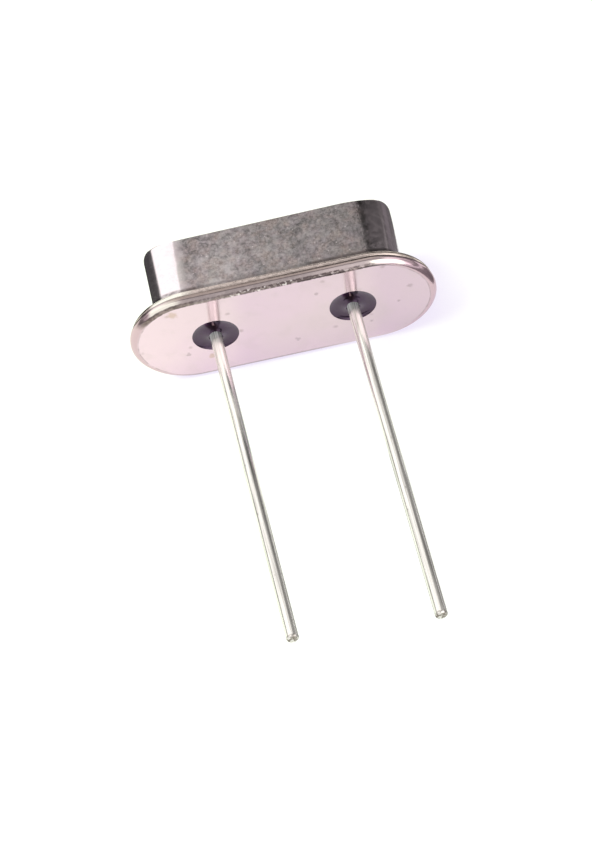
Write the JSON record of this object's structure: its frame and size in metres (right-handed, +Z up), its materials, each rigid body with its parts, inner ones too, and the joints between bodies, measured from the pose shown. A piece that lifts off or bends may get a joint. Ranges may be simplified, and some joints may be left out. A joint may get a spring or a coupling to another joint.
{
  "type": "quartz crystal unit",
  "caption": "Low-profile quartz crystal in a drawn metal can welded to a flanged base plate, with wire leads sealed in dark glass.",
  "frame": {"origin": "centre of the seating face, midway between the two leads where they leave it; the unit lies on its long side, so the surface it rests on is below the origin", "axes": "+X along the base plate from the left lead to the right lead, +Y from the leads towards the can, +Z up, away from the surface that the unit rests on"},
  "size_m": [0.0108, 0.0162, 0.0045],
  "materials": {
    "can_sheet": "nickel-plated drawn sheet, fine matt grain on the long sides and smooth at the corners",
    "base_metal": "polished nickel plate, faintly warm, with small pits",
    "seal_glass": "glossy opaque dark slate glass, dished round the lead",
    "lead_wire": "bright tinned wire with fine drawing lines",
    "clip_strip": "thin rolled nickel strip",
    "quartz": "clear polished quartz",
    "electrode_film": "evaporated silver film",
    "cement": "cured silver-filled cement"
  },
  "bodies": {
    "root": {"can": "can_sheet", "base_plate": "base_metal", "seal_left": "seal_glass", "seal_right": "seal_glass", "lead_left": "lead_wire", "lead_right": "lead_wire", "clip_left": "clip_strip", "clip_right": "clip_strip", "quartz_blank": "quartz", "electrode_top": "electrode_film", "electrode_bottom": "electrode_film", "cement_left": "cement", "cement_right": "cement"}
  },
  "joints": []
}
